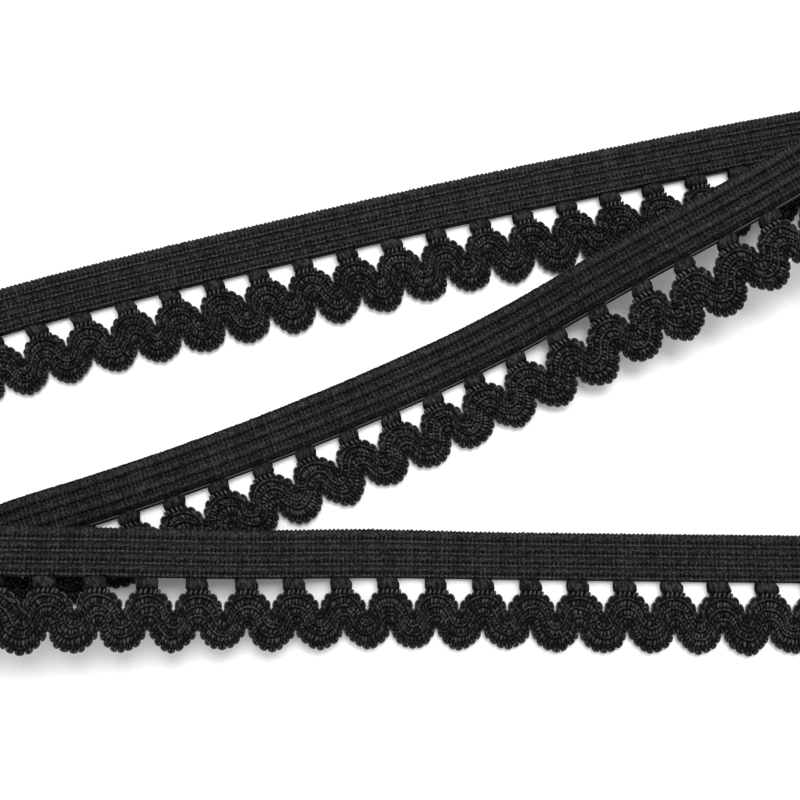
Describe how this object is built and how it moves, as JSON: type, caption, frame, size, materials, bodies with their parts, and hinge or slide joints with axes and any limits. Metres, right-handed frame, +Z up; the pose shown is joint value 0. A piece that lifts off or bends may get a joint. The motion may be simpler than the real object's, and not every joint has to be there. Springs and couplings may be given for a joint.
{
  "type": "picot elastic trim",
  "caption": "Narrow knitted elastic trim with a ribbed band, wrapped knots and a scalloped picot edging, laid back and forth in flat runs with soft fold-overs.",
  "frame": {"origin": "middle of the laid trim's bounding box, on the surface that it lies on", "axes": "+X along the runs, +Y from the picots towards the band's plain edge, +Z up out of the surface"},
  "size_m": [0.1408, 0.075, 0.0121],
  "materials": {
    "black_yarn": "matte knitted yarn with a faint satin sheen"
  },
  "bodies": {
    "root": {"picot_elastic": "black_yarn"}
  },
  "joints": []
}
